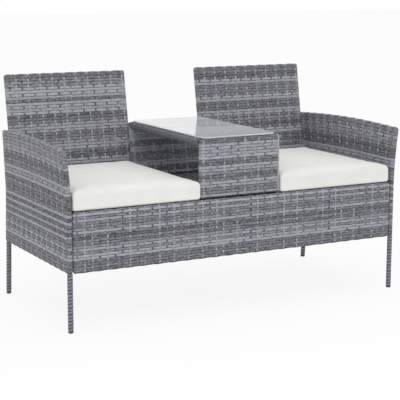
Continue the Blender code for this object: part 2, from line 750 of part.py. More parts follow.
for side_name, side in SIDES:
    inner_x = CONSOLE_HALF + APRON_BOLT_INNER
    outer_x = SIDE_RAIL_X - APRON_BOLT_OUTER
    for end_name, x in (("inner", inner_x), ("outer", outer_x)):
        fasten("apron_bolt_" + side_name + "_" + end_name, seat, apron, apron_wrap,
               Vector((side * x, FRONT_RAIL_Y, RAIL_Z)), Vector((side * x, 0, RAIL_Z)))

for (posts, wrap), (side_name, side) in zip(backs, SIDES):
    inner_x = BACK_INNER_X + BACK_BOLT_INSET
    outer_x = BACK_OUTER_X - BACK_BOLT_INSET
    for end_name, x in (("inner", inner_x), ("outer", outer_x)):
        fasten("back_bolt_" + side_name + "_" + end_name, seat, posts, wrap,
               Vector((side * x, REAR_RAIL_Y, RAIL_Z)), Vector((side * x, BACK_RIM.y, BACK_RIM.z)))

for end_name, y, wrap in zip(("front", "rear"), (FRONT_RAIL_Y, REAR_RAIL_Y), console_wraps):
    for side_name, side in SIDES:
        x = side * (CONSOLE_HALF - CONSOLE_BOLT_INSET)
        fasten("console_bolt_" + end_name + "_" + side_name, seat, console, wrap,
               Vector((x, y, RAIL_Z)), Vector((x, y, RAIL_TOP_Z + COVER_R)))

for posts, wrap in arms + backs + [(apron, apron_wrap), (seat, None), (console, None)]:
    posts.build()
    if wrap:
        wrap.build()
for wrap in console_wraps:
    wrap.build()
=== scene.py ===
import json
import math

import bmesh
import bpy
import numpy as np
from mathutils import Matrix, Vector

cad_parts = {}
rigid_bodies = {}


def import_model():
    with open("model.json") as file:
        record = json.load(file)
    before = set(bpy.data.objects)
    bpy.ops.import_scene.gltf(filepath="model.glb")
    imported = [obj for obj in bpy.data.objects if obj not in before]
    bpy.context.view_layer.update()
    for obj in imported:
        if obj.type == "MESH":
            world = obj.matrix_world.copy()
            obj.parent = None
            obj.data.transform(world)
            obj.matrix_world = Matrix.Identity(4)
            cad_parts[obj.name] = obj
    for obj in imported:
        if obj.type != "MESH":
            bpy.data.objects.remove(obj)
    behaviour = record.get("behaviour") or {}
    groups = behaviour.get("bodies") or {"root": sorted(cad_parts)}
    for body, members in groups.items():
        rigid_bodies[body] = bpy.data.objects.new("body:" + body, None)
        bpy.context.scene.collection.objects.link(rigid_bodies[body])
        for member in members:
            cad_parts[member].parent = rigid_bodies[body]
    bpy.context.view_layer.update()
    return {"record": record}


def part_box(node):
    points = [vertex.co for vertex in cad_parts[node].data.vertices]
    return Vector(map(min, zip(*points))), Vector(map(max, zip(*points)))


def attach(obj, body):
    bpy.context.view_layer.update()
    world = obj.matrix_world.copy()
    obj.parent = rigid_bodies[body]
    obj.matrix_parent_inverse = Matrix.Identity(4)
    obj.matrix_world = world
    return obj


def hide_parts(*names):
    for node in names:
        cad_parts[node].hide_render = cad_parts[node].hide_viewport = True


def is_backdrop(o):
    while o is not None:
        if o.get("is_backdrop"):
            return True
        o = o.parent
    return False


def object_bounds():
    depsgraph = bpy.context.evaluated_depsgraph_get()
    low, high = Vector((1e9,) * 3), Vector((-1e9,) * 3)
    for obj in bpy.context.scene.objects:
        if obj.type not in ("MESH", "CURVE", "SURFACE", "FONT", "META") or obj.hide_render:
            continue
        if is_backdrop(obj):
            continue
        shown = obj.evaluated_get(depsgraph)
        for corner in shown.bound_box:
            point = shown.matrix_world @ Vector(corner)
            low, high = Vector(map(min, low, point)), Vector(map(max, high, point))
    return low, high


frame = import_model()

# %% [markdown]
# # A woven garden bench for two
#
# The frame that was just loaded holds the plain solids of the bench: tubes, covers, cushions and glass.
# This lesson dresses them. The covers become real woven strands, the cushions become stuffed cloth,
# and every solid that stays in view gets a finish of its own.

# %% [markdown]
# ## Small helpers
#
# A hex colour is written for the screen, and a shader wants linear light, so one function converts it.
# One more function adds a node with its settings and its links. It is used for materials
# and for geometry, so every tree in this lesson reads the same way. No real surface has one flat colour,
# so another function mixes two shades by noise whose blotches have a real size in metres.
# The last few make objects, and read and move their vertices.


# %% Helpers
def linear(code):
    """A #rrggbb screen colour as linear red, green, blue and alpha."""
    parts = [int(code[i:i + 2], 16) / 255 for i in (1, 3, 5)]
    return tuple(c / 12.92 if c <= 0.04045 else ((c + 0.055) / 1.055) ** 2.4 for c in parts) + (1.0,)


def add_node(tree, kind, inputs=None, **settings):
    """A new node; inputs maps a socket's name or number to a value, or to what feeds it."""
    made = tree.nodes.new(kind)
    for key, value in settings.items():
        setattr(made, key, value)
    for key, value in (inputs or {}).items():
        if isinstance(value, bpy.types.Node):
            value = value.outputs[0]
        if isinstance(value, bpy.types.NodeSocket):
            tree.links.new(value, made.inputs[key])
        else:
            made.inputs[key].default_value = value
    return made


def new_material(name):
    """An empty material and its tree."""
    made = bpy.data.materials.new(name)
    made.use_nodes = True
    made.node_tree.nodes.clear()
    return made, made.node_tree


def mottled(tree, size, dark, pale):
    """Noise with blotches of a size in metres, and two hex colours mixed by it, as (noise, colour)."""
    place = add_node(tree, "ShaderNodeTexCoord")
    noise = add_node(tree, "ShaderNodeTexNoise",
                     {"Vector": place.outputs["Object"], "Scale": 1 / size, "Detail": 2.0})
    mixed = add_node(tree, "ShaderNodeMix", {"Factor": noise, 6: linear(dark), 7: linear(pale)},
                     data_type="RGBA")
    return noise, mixed.outputs[2]


def wave_scale(spacing):
    """The scale at which a wave texture repeats at a spacing in metres: it has 20 radians to a unit."""
    return 2 * math.pi / spacing / 20


def seen_directly(tree):
    """1 where the camera, a mirror or a pane of glass looks, and 0 for scattered light."""
    path = add_node(tree, "ShaderNodeLightPath").outputs
    direct = add_node(tree, "ShaderNodeMath", {0: path["Is Camera Ray"], 1: path["Is Glossy Ray"]},
                      operation="MAXIMUM")
    direct = add_node(tree, "ShaderNodeMath", {0: direct, 1: path["Is Transmission Ray"]},
                      operation="MAXIMUM")
    return direct


def linked(name, data):
    """A new object in the scene that shows a mesh, or is a lamp or a camera."""
    made = bpy.data.objects.new(name, data)
    bpy.context.scene.collection.objects.link(made)
    return made


def built(name, bm):
    """A new object in the scene from what was drawn in a bmesh."""
    mesh = bpy.data.meshes.new(name)
    bm.to_mesh(mesh)
    bm.free()
    return linked(name, mesh)


def applied(made):
    """The object's mesh with its modifiers' result in it, and no modifier left."""
    graph = bpy.context.evaluated_depsgraph_get()
    mesh = bpy.data.meshes.new_from_object(made.evaluated_get(graph))
    made.modifiers.clear()
    made.data = mesh
    return mesh


def vertex_places(mesh, what="co"):
    """Where a mesh's vertices are, or their normals, one row for each."""
    rows = np.zeros(len(mesh.vertices) * 3)
    mesh.vertices.foreach_get(what, rows)
    return rows.reshape(-1, 3)


def set_places(mesh, places):
    """Moves a mesh's vertices to new places."""
    mesh.vertices.foreach_set("co", places.astype(np.float32).ravel())
    mesh.update()


print("mid grey is", [round(c, 3) for c in linear("#808080")])

# %% [markdown]
# ## The camera
#
# The camera stands left of the bench and a little above it, and looks slightly down.
# A long lens keeps the upright lines nearly parallel. Its place and its angles are plain numbers,
# and three unit vectors turn them into one matrix: right, up, and back.

# %% Camera
CAMERA_AT = Vector((-2.2704, -4.1656, 1.2246))
CAMERA_YAW = math.radians(28.682)
CAMERA_PITCH = math.radians(10.393)
CAMERA_ROLL = math.radians(0.147)
CAMERA_LENS, SENSOR_WIDTH = 112.01, 36     # millimetres

ahead = Vector((math.sin(CAMERA_YAW) * math.cos(CAMERA_PITCH),
                math.cos(CAMERA_YAW) * math.cos(CAMERA_PITCH), -math.sin(CAMERA_PITCH)))
level = Vector((math.cos(CAMERA_YAW), -math.sin(CAMERA_YAW), 0))
upward = level.cross(ahead)
right = math.cos(CAMERA_ROLL) * level + math.sin(CAMERA_ROLL) * upward
upward = right.cross(ahead)
camera = linked("camera", bpy.data.cameras.new("camera"))
camera.data.lens = CAMERA_LENS
camera.data.sensor_width = SENSOR_WIDTH
camera.matrix_world = Matrix.Translation(CAMERA_AT) @ Matrix(
    [(right[i], upward[i], -ahead[i]) for i in range(3)]).to_4x4()
bpy.context.scene.camera = camera
print("camera looks along", [round(c, 3) for c in ahead])

# %% [markdown]
# ## Floor, backdrop and light
#
# The bench stands on a plain white floor in an even, soft light, as in a daylight studio.
# The surroundings light it from all sides, and one large soft lamp from the front left gives it form.
# What the camera, a mirror or a pane of glass sees of the surroundings is plain white.
# The floor is part white glow and part painted board, so it stays white and still keeps a shadow.

# %% Studio
SKY = 0.86                 # strength of the soft light from all sides
GLOW = 0.87                # the share of white glow in the floor
GROUND = 30                # the floor goes this many metres to every side, so its edge is never seen
WHITE = (1, 1, 1, 1)
LAMP_AIM = Vector((0, 0, 0.4))
LAMPS = {"key_lamp": ((-1.6, -3.2, 3.4), 2.4, 34),      # place, size in metres, watts
         "top_lamp": ((0.6, 0.4, 3.6), 2.6, 16)}

world = bpy.data.worlds.new("studio")
world.use_nodes = True
bpy.context.scene.world = world
bpy.context.scene.view_settings.view_transform = "Standard"
sky = world.node_tree
sky.nodes.clear()
soft = add_node(sky, "ShaderNodeBackground", {"Color": linear("#fbfbff"), "Strength": SKY})
white = add_node(sky, "ShaderNodeBackground", {"Color": WHITE, "Strength": 1.0})
mixed = add_node(sky, "ShaderNodeMixShader", {0: seen_directly(sky), 1: soft, 2: white})
add_node(sky, "ShaderNodeOutputWorld", {"Surface": mixed})

board, tree = new_material("painted studio board")
share = add_node(tree, "ShaderNodeMath", {0: seen_directly(tree), 1: GLOW}, operation="MULTIPLY")
paint = add_node(tree, "ShaderNodeBsdfDiffuse", {"Color": linear("#f8f8f8")})
glow = add_node(tree, "ShaderNodeEmission", {"Color": WHITE, "Strength": 1.0})
mixed = add_node(tree, "ShaderNodeMixShader", {0: share, 1: paint, 2: glow})
add_node(tree, "ShaderNodeOutputMaterial", {"Surface": mixed})

floor_mesh = bpy.data.meshes.new("studio_floor")
floor_mesh.from_pydata([(x * GROUND, y * GROUND, 0) for x, y in ((-1, -1), (1, -1), (1, 1), (-1, 1))], [],
                       [(0, 1, 2, 3)])
floor_mesh.materials.append(board)
linked("studio_floor", floor_mesh)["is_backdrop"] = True

for name, (place, size, watts) in LAMPS.items():
    lamp = bpy.data.lights.new(name, "AREA")
    lamp.shape, lamp.size, lamp.energy = "SQUARE", size, watts
    holder = linked(name, lamp)
    holder.location = place
    holder.rotation_euler = (LAMP_AIM - Vector(place)).to_track_quat("-Z", "Y").to_euler()
print("studio ready, lamps:", len(bpy.data.lights))

# %% [markdown]
# ## The strand
#
# Garden rattan of this kind is a flat strand of extruded polyethylene, about 10 mm wide and 1.3 mm thick.
# Each strand is a mix of greys: the plastic is poured from two colours, so paler and darker streaks run
# along it for a few centimetres, and fine ribs give a dull sheen.
# How pale a strand is comes from a number that each strand carries, called tone.
# The streaks follow the strand, so they read its own map: metres along it, and metres across it.

# %% Strand material
DARK_STRAND = "#47484d"
LIGHT_STRAND = "#abacb3"
CLOUD = (115.0, 250.0)     # changes for each metre along and across: blotches of about 9 mm by 4 mm
STREAK = (26.0, 700.0)     # streaks of about 40 mm by 1.4 mm
CLOUD_SHARE, STREAK_SHARE = 0.72, 0.55     # how much each of them changes the tone
NOISE_LOW, NOISE_HIGH = 0.28, 0.72         # noise seldom leaves this range
TONE_APART = 97.0          # strands that differ a little in tone read quite different noise
RIB = 0.0016               # the ribs are 0.5 mm apart on the real strand, drawn three times as coarse

strand_finish, tree = new_material("extruded polyethylene rattan, mixed grey")
uv = add_node(tree, "ShaderNodeUVMap", uv_map="UVMap")
tone = add_node(tree, "ShaderNodeAttribute", attribute_name="tone")
shift = add_node(tree, "ShaderNodeMath", {0: tone.outputs["Fac"], 1: TONE_APART}, operation="MULTIPLY")
shade = tone.outputs["Fac"]
for spread, share, detail in ((CLOUD, CLOUD_SHARE, 1.0), (STREAK, STREAK_SHARE, 2.0)):
    stretch = add_node(tree, "ShaderNodeMapping", {"Vector": uv, "Scale": spread + (1.0,)})
    blotch = add_node(tree, "ShaderNodeTexNoise",
                      {"Vector": stretch, "W": shift, "Scale": 1.0, "Detail": detail}, noise_dimensions="4D")
    blotch = add_node(tree, "ShaderNodeMapRange",
                      {"Value": blotch, "From Min": NOISE_LOW, "From Max": NOISE_HIGH,
                       "To Min": -share / 2, "To Max": share / 2})
    shade = add_node(tree, "ShaderNodeMath", {0: shade, 1: blotch}, operation="ADD")
colour = add_node(tree, "ShaderNodeMix", {"Factor": shade, 6: linear(DARK_STRAND), 7: linear(LIGHT_STRAND)},
                  data_type="RGBA", clamp_factor=True)
ribs = add_node(tree, "ShaderNodeTexWave",
                {"Vector": uv, "Scale": wave_scale(RIB), "Distortion": 0.6, "Detail": 1.0},
                bands_direction="Y")
bump = add_node(tree, "ShaderNodeBump", {"Strength": 0.3, "Distance": 0.0002, "Height": ribs.outputs[1]})
plastic = add_node(tree, "ShaderNodeBsdfPrincipled",
                   {"Base Color": colour.outputs[2], "Roughness": 0.52, "IOR": 1.5, "Normal": bump})
add_node(tree, "ShaderNodeOutputMaterial", {"Surface": plastic})
print("strand material ready")

# %% [markdown]
# ## Painted shade inside the panels
#
# Daylight would show through a weave this loose. A thin black sheet between the two layers of a panel
# stops it: it is painted shade, standing in for the shadow inside a real panel, whose strands lie pressed
# together. It is only seen as depth: dull, dark and faintly mottled.

# %% Painted shade sheet material
SHADE_SHEET_DARK, SHADE_SHEET_PALE = "#0c0c0e", "#1d1d20"
SHADE_SHEET_BLOTCH = 0.002              # blotches about 2 mm across in the painted shade sheet

# A near-black matt material for the sheet that paints the shade inside the weave; it is no real part of the
# bench.
shade_sheet_finish, tree = new_material("painted shade sheet, black")
_, colour = mottled(tree, SHADE_SHEET_BLOTCH, SHADE_SHEET_DARK, SHADE_SHEET_PALE)
shade_sheet_surface = add_node(tree, "ShaderNodeBsdfPrincipled",
                {"Base Color": colour, "Roughness": 0.95, "Specular IOR Level": 0.2})
add_node(tree, "ShaderNodeOutputMaterial", {"Surface": shade_sheet_surface})
print("fleece ready")

# %% [markdown]
# ## One tree for every woven strand
#
# Weaving repeats: each row is the same strand, moved up and swung over or under the upright stakes.
# So one tree makes all of it. It takes points, one for each strand, and a path that all of them share.
# The path says at each place which way is outward and how far the strand swings there,
# and each point says whether its strand swings the other way. The tree copies the path to the points,
# swings it, lets it wander a little as hand work does, and sweeps a flat lens section along it.

# %% Geometry tree
STRAY = 22.0               # how quickly a strand changes the way it strays, in changes for each metre
STRAND_APART = 3.7         # takes each strand to a part of the noise that is its own

INPUTS = {"Path": "Object", "Strand Width": "Float", "Strand Thickness": "Float", "Bow": "Float",
          "Wander": "Vector", "Facets": "Int", "Seed": "Int", "Finish": "Material"}
weave = bpy.data.node_groups.new("woven strands", "GeometryNodeTree")
for way in ("INPUT", "OUTPUT"):
    weave.interface.new_socket(name="Geometry", in_out=way, socket_type="NodeSocketGeometry")
sockets = [weave.interface.new_socket(name=label, in_out="INPUT", socket_type="NodeSocket" + kind).identifier
           for label, kind in INPUTS.items()]

given = add_node(weave, "NodeGroupInput").outputs
carried = {}
for name in ("outward", "swing", "side", "strand", "along", "across"):
    carried[name] = add_node(weave, "GeometryNodeInputNamedAttribute", {"Name": name},
                             data_type="FLOAT_VECTOR" if name == "outward" else "FLOAT")
place = add_node(weave, "GeometryNodeInputPosition")

shared = add_node(weave, "GeometryNodeObjectInfo", {"Object": given["Path"]})
curve = add_node(weave, "GeometryNodeMeshToCurve", {"Mesh": shared.outputs["Geometry"]})
copies = add_node(weave, "GeometryNodeInstanceOnPoints", {"Points": given["Geometry"], "Instance": curve})
curves = add_node(weave, "GeometryNodeRealizeInstances", {"Geometry": copies})

swing = add_node(weave, "ShaderNodeMath", {0: carried["swing"], 1: carried["side"]}, operation="MULTIPLY")
swing = add_node(weave, "ShaderNodeMath", {0: swing, 1: given["Bow"]}, operation="MULTIPLY")
swung = add_node(weave, "ShaderNodeVectorMath", {0: carried["outward"], "Scale": swing}, operation="SCALE")
offset = add_node(weave, "ShaderNodeMath", {0: carried["strand"], 1: STRAND_APART, 2: given["Seed"]},
                  operation="MULTIPLY_ADD")
noise = add_node(weave, "ShaderNodeTexNoise", {"Vector": place, "W": offset, "Scale": STRAY, "Detail": 1.0},
                 noise_dimensions="4D")
noise = add_node(weave, "ShaderNodeMath", {0: noise, 1: 0.5}, operation="SUBTRACT")
stray = add_node(weave, "ShaderNodeVectorMath", {0: given["Wander"], "Scale": noise}, operation="SCALE")
moved = add_node(weave, "ShaderNodeVectorMath", {0: swung, 1: stray}, operation="ADD")
curves = add_node(weave, "GeometryNodeSetPosition", {"Geometry": curves, "Offset": moved})
curves = add_node(weave, "GeometryNodeSetCurveNormal", {"Curve": curves, "Normal": carried["outward"]},
                  mode="FREE")
distance = add_node(weave, "GeometryNodeSplineParameter")
curves = add_node(weave, "GeometryNodeStoreNamedAttribute",
                  {"Geometry": curves, "Name": "along", "Value": distance.outputs["Length"]},
                  data_type="FLOAT", domain="POINT")

lens = add_node(weave, "ShaderNodeCombineXYZ",
                {"X": given["Strand Thickness"], "Y": given["Strand Width"], "Z": 1.0})
circle = add_node(weave, "GeometryNodeCurvePrimitiveCircle", {"Resolution": given["Facets"], "Radius": 0.5})
section = add_node(weave, "GeometryNodeTransform", {"Geometry": circle, "Scale": lens})
corner = add_node(weave, "ShaderNodeSeparateXYZ", {0: place})
section = add_node(weave, "GeometryNodeStoreNamedAttribute",
                   {"Geometry": section, "Name": "across", "Value": corner.outputs["Y"]},
                   data_type="FLOAT", domain="POINT")
swept = add_node(weave, "GeometryNodeCurveToMesh",
                 {"Curve": curves, "Profile Curve": section, "Fill Caps": True})
uv = add_node(weave, "ShaderNodeCombineXYZ", {"X": carried["along"], "Y": carried["across"]})
mapped = add_node(weave, "GeometryNodeStoreNamedAttribute", {"Geometry": swept, "Name": "UVMap", "Value": uv},
                  data_type="FLOAT2", domain="CORNER")
smooth = add_node(weave, "GeometryNodeSetShadeSmooth", {"Geometry": mapped})
dressed = add_node(weave, "GeometryNodeSetMaterial", {"Geometry": smooth, "Material": given["Finish"]})
add_node(weave, "NodeGroupOutput", {"Geometry": dressed})
print("tree nodes:", len(weave.nodes))

# %% [markdown]
# ## Paths and points in a flat panel
#
# Every woven panel is first laid out flat: x runs along it, z runs up it, and y goes through it.
# Its rows are closed loops, because a strand goes along the front, round the edge tube, back along
# the rear and round the other tube. Its stakes are the same loops, stood upright.
# A flat deck needs only the open path.
# After weaving, a short formula moves each vertex to where the real panel is, also on the bent arms.

# %% Weaving functions
FADE = 0.008               # over this length before a rim a strand stops swinging
END_GAP = 0.35             # no point lies nearer to the end of a path than this share of the spacing
RIM_TURNS = 5              # flat pieces in the half turn round a rim
TURN_PIECES = 14           # flat pieces in one turn of a winding


def mesh_object(name, points, edges, values):
    """A plain mesh object whose points carry the named values; vectors have three numbers each."""
    mesh = bpy.data.meshes.new(name)
    mesh.from_pydata([tuple(map(float, p)) for p in points], edges, [])
    for key, column in values.items():
        column = np.asarray(column, np.float32)
        vector = column.ndim == 2
        attribute = mesh.attributes.new(key, "FLOAT_VECTOR" if vector else "FLOAT", "POINT")
        attribute.data.foreach_set("vector" if vector else "value", column.ravel())
    return linked(name, mesh)


def swing_at(distance, first, step, low=-math.inf, high=math.inf):
    """How far a strand swings at a distance along it: out at one crossing, in at the next."""
    wave = math.cos(math.pi * (distance - first) / step)
    calm = min(max((distance - low) / FADE, 0), 1) * min(max((high - distance) / FADE, 0), 1)
    return wave * calm


def stations(low, high, first, step, segments):
    """Distances from low to high that fall on the crossings and evenly between them."""
    pace = step / segments
    start = math.ceil((low - first) / pace + END_GAP)
    end = math.floor((high - first) / pace - END_GAP)
    return [low] + [first + pace * k for k in range(start, end + 1)] + [high]


def stood(along, depth, upright):
    """A point or direction of a path in three numbers: along x for a row, along z for a stake."""
    return (0, depth, along) if upright else (along, depth, 0)


def rim_turn(centre, sign, half):
    """The half turn of a loop round the rim at its far end (sign 1) or its near end (sign -1)."""
    angles = [math.pi * k / RIM_TURNS for k in range(1, RIM_TURNS)]
    return [((centre + sign * half * math.sin(a), -sign * half * math.cos(a)),
             (sign * math.sin(a), -sign * math.cos(a)), 0) for a in angles]


def loop_path(length, rim, half, first, step, segments, upright):
    """A closed loop round two rims, as (point, outward, swing) for each place, and whether it closes."""
    low, high = rim, length - rim
    flat = [(d, swing_at(d, first, step, low, high)) for d in stations(low, high, first, step, segments)]
    rows = [((d, -half), (0, -1), swing) for d, swing in flat] + rim_turn(high, 1, half)
    rows += [((d, half), (0, 1), swing) for d, swing in reversed(flat)] + rim_turn(low, -1, half)
    return [(stood(*p, upright), stood(*o, upright), s) for p, o, s in rows], True


def open_path(length, first, step, segments, upright):
    """A straight path with the same swing, for a single flat layer."""
    flat = stations(0, length, first, step, segments)
    return [(stood(d, 0, upright), stood(0, -1, upright), swing_at(d, first, step)) for d in flat], False


def helix_path(length, radius, pitch):
    """One long winding round a tube that runs along z."""
    count = int(length / pitch * TURN_PIECES)
    rows = []
    for k in range(count + 1):
        x, y = math.cos(2 * math.pi * k / TURN_PIECES), math.sin(2 * math.pi * k / TURN_PIECES)
        rows.append(((radius * x, radius * y, length * k / count), (x, y, 0), 0))
    return rows, False


def strands(name, path, starts, width, thickness, bow, wander, facets, seed):
    """Sweeps one strand along the path for each start, given as (x, z, tone, side), as a plain mesh."""
    rows, closed = path
    edges = [(i, i + 1) for i in range(len(rows) - 1)] + ([(len(rows) - 1, 0)] if closed else [])
    points, outwards, swings = zip(*rows)
    guide = mesh_object("guide", points, edges, {"outward": outwards, "swing": swings})
    x, z, tones, sides = zip(*starts)
    made = mesh_object(name, [(a, 0, b) for a, b in zip(x, z)], [],
                       {"tone": tones, "side": sides, "strand": range(len(starts))})
    modifier = made.modifiers.new("weave", "NODES")
    modifier.node_group = weave
    values = (guide, width, thickness, bow, wander, facets, seed, strand_finish)      # as in INPUTS
    for socket, value in zip(sockets, values):
        modifier[socket] = value
    mesh = applied(made)
    bpy.data.objects.remove(guide)
    for key in ("side", "strand", "swing", "outward", "along", "across"):
        if key in mesh.attributes:
            mesh.attributes.remove(mesh.attributes[key])
    return made


def place_mesh(mesh, put):
    """Moves every vertex of a flat panel to its real place, and keeps its faces outward."""
    flat = vertex_places(mesh)
    real = put(flat[:, 0], flat[:, 2], flat[:, 1])
    set_places(mesh, real)
    mesh.calc_loop_triangles()
    corners = np.zeros(len(mesh.loop_triangles) * 3, np.int32)
    mesh.loop_triangles.foreach_get("vertices", corners)
    a, b, c = real[corners.reshape(-1, 3).T]
    if np.einsum("ij,ij->i", a, np.cross(b, c)).sum() < 0:     # six times the volume, if faces look out
        mesh.flip_normals()


print("weaving functions ready")

# %% [markdown]
# ## The parts of one panel
#
# A panel is made of rows and stakes. The rows differ in tone from band to band,
# and the stakes are dark and pale in turn, so pale columns cross the dark bands.
# The first and last rows don't stop at the edge: they are woven on round the edge tube.
# Rows are a little narrower than their spacing, so a dark line of shadow is left between them.
# A dark sheet of painted shade hangs between the front layer and the rear layer, and is only seen in those
# lines.

# %% Panel
LAYER = 0.0090        # from the middle of a panel to the middle of its woven layer
RIM = 0.0098          # radius of a wrapped edge tube
OVER = 0.0150         # how far the rows go on round an edge tube, measured along its surface
ROW_SHARE = 0.94      # a row's width as a share of its spacing
ROW_T, ROW_BOW = 0.0013, 0.0008
STAKE_W, STAKE_T, STAKE_BOW = 0.0076, 0.0012, 0.0006
ROW_POINTS, STAKE_POINTS = 5, 3            # points of the path from one crossing to the next
ROW_FACETS, STAKE_FACETS = 8, 6            # sides of a strand's lens section
LAST_STAKE = 0.3      # the last stake may stand this share of a step beyond the middle of the rim
WANDER = 0.0016       # how far a strand strays in its layer
SHADE_SHEET_T = 0.0005
SHADE_SHEET_IN = -0.0055   # the painted shade sheet lies this far from the middle of a panel
SHADE_SHEET_EDGE = 0.0165  # and ends this far from its edges
SHADE_SHEET_CELL = 0.03    # it is cut into squares of about this size, so that it can bend with an arm
TONES = {"L": 0.88, "M": 0.55, "D": 0.22}
generator = np.random.default_rng(11)


def varied(tone, spread=0.07):
    """A tone that differs a little from strand to strand."""
    return float(np.clip(tone + generator.normal(0, spread), 0, 1))


def tone_at(bands, depth):
    """The tone of the band at a depth below the top edge; bands are (depth where it ends, tone)."""
    return next((tone for end, tone in bands if depth <= end), bands[-1][1])


def finished(piece, put):
    """Places a flat woven piece, and lets it ride on the bench."""
    place_mesh(piece.data, put)
    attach(piece, "bench")


def woven_panel(name, width, height, put, bands, pitch, first, step, pattern, seed):
    """Rows, stakes and the dark sheet of painted shade of one two-layer panel, for its cover; first and step
    place the stakes.
    """
    low, high = RIM - OVER, height - RIM + OVER
    count = int(round((high - low) / pitch))
    pitch = (high - low) / count
    top_row = high - pitch / 2
    rows = [(0, top_row - k * pitch, varied(tone_at(bands, height - top_row + k * pitch)), (-1) ** k)
            for k in range(count)]
    made_rows = strands(name + "_rows", loop_path(width, RIM, LAYER, first, step, ROW_POINTS, False), rows,
                        pitch * ROW_SHARE, ROW_T, ROW_BOW, (0, 0, WANDER), ROW_FACETS, seed)
    stake_count = int((width - RIM - first) / step + LAST_STAKE) + 1
    side = (-1) ** (count - 1)
    stakes = [(first + k * step, 0, varied(TONES[pattern[k % len(pattern)]]), -side * (-1) ** k)
              for k in range(stake_count)]
    low_row = top_row - (count - 1) * pitch
    made_stakes = strands(name + "_stakes",
                          loop_path(height, RIM, LAYER, low_row, pitch, STAKE_POINTS, True), stakes,
                          STAKE_W, STAKE_T, STAKE_BOW, (WANDER, 0, 0), STAKE_FACETS, seed + 1)
    finished(made_rows, rounded(put, height))
    finished(made_stakes, put)
    finished(shade_sheet(name, width, height), put)
    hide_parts(name + "_cover")
    print(name, "rows", count, "stakes", stake_count)


def rounded(put, height):
    """A put that carries the rows near the upper and the lower edge round the tube there."""
    def bent(u, v, w):
        up, out = np.array(v), np.array(w)
        for sign, centre in ((1, height - RIM), (-1, RIM)):
            past = sign * (v - centre)
            a = np.clip(past / RIM, 0, math.pi / 2)
            up = np.where(past > 0, centre + sign * np.abs(w) * np.sin(a), up)
            out = np.where(past > 0, w * np.cos(a), out)
        return put(u, up, out)
    return bent


def shade_sheet(name, width, height, depth=SHADE_SHEET_IN, edge=SHADE_SHEET_EDGE):
    """A thin dark sheet between the two layers, clear of the thin bars: painted shade that stands in for the
    shadow inside the weave.
    """
    count_u, count_v = max(int(width / SHADE_SHEET_CELL), 2), max(int(height / SHADE_SHEET_CELL), 2)
    bm = bmesh.new()
    sheets = [[[bm.verts.new((u, w, v)) for u in np.linspace(edge, width - edge, count_u + 1)]
               for v in np.linspace(edge, height - edge, count_v + 1)]
              for w in (depth - SHADE_SHEET_T / 2, depth + SHADE_SHEET_T / 2)]
    for sheet, turn in zip(sheets, (1, -1)):
        for lower, upper in zip(sheet, sheet[1:]):
            for i in range(count_u):
                bm.faces.new([lower[i], lower[i + 1], upper[i + 1], upper[i]][::turn])
    near, far = [sheet[0][:-1] + [row[-1] for row in sheet[:-1]] + sheet[-1][:0:-1] +
                 [row[0] for row in sheet[:0:-1]] for sheet in sheets]
    for k in range(len(near)):
        bm.faces.new([near[k], near[k - 1], far[k - 1], far[k]])
    bmesh.ops.recalc_face_normals(bm, faces=bm.faces)
    made = built(name + "_lining", bm)
    made.data.materials.append(shade_sheet_finish)
    return made


def flat_put(origin, across, up, through):
    """A put function for a flat panel whose lower left corner is at origin."""
    def put(u, v, w):
        return np.asarray(origin) + np.outer(u, across) + np.outer(v, up) + np.outer(w, through)
    return put


print("panel functions ready, tones", TONES)

# %% [markdown]
# ## Apron
#
# The woven front under the seats. Its stakes stand 28.7 mm apart and its rows are about 10 mm high.
# The list of bands gives the tone of the rows by their depth below the top edge.

# %% Apron
APRON_BANDS = [(0.009, 0.35), (0.0185, 0.85), (0.021, 0.25), (0.032, 0.8), (0.062, 0.4), (0.077, 0.85),
               (0.119, 0.27), (0.128, 0.5), (0.138, 0.8), (0.151, 0.45), (0.171, 0.85), (0.300, 0.3)]
low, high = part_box("apron_cover")
put = flat_put((low.x, (low.y + high.y) / 2, low.z), (1, 0, 0), (0, 0, 1), (0, 1, 0))
woven_panel("apron", high.x - low.x, high.z - low.z, put, APRON_BANDS,
            pitch=0.0102, first=0.0134, step=0.0287, pattern="DLLDLDDLDMDLDLDMDL", seed=3)

# %% [markdown]
# ## Backs
#
# Two leaning panels. Their bands differ, because each was woven on its own, by hand.

# %% Backs
BACK_LEAN = math.radians(9.9)
BACK_BANDS = {
    "left_back": [(0.030, 0.25), (0.036, 0.5), (0.047, 0.85), (0.058, 0.45), (0.104, 0.85), (0.116, 0.2),
                  (0.160, 0.85), (0.199, 0.25), (0.232, 0.8), (0.267, 0.25), (0.295, 0.8), (0.333, 0.2),
                  (0.362, 0.8), (0.396, 0.25), (0.425, 0.8), (0.500, 0.25)],
    "right_back": [(0.050, 0.3), (0.079, 0.8), (0.097, 0.3), (0.106, 0.8), (0.118, 0.3), (0.142, 0.8),
                   (0.177, 0.3), (0.204, 0.8), (0.222, 0.3), (0.232, 0.5), (0.265, 0.3), (0.293, 0.8),
                   (0.345, 0.25), (0.375, 0.8), (0.410, 0.3), (0.430, 0.8), (0.500, 0.3)]}
lean_up = Vector((0, math.sin(BACK_LEAN), math.cos(BACK_LEAN)))
lean_out = Vector((0, math.cos(BACK_LEAN), -math.sin(BACK_LEAN)))


def leaning_panel(name, up, out):
    """Width, length and put of a flat panel that leans along up, from the box of its solid."""
    low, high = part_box(name + "_cover")
    length = (high.z - low.z - 2 * RIM) / up.z + 2 * RIM
    foot = Vector((low.x, low.y + RIM, low.z + RIM)) - up * RIM
    return high.x - low.x, length, flat_put(foot, (1, 0, 0), up, out)


for name, seed in (("left_back", 21), ("right_back", 31)):
    width, length, put = leaning_panel(name, lean_up, lean_out)
    woven_panel(name, width, length, put, BACK_BANDS[name],
                pitch=0.0117, first=0.0184, step=0.0247, pattern="DL", seed=seed)
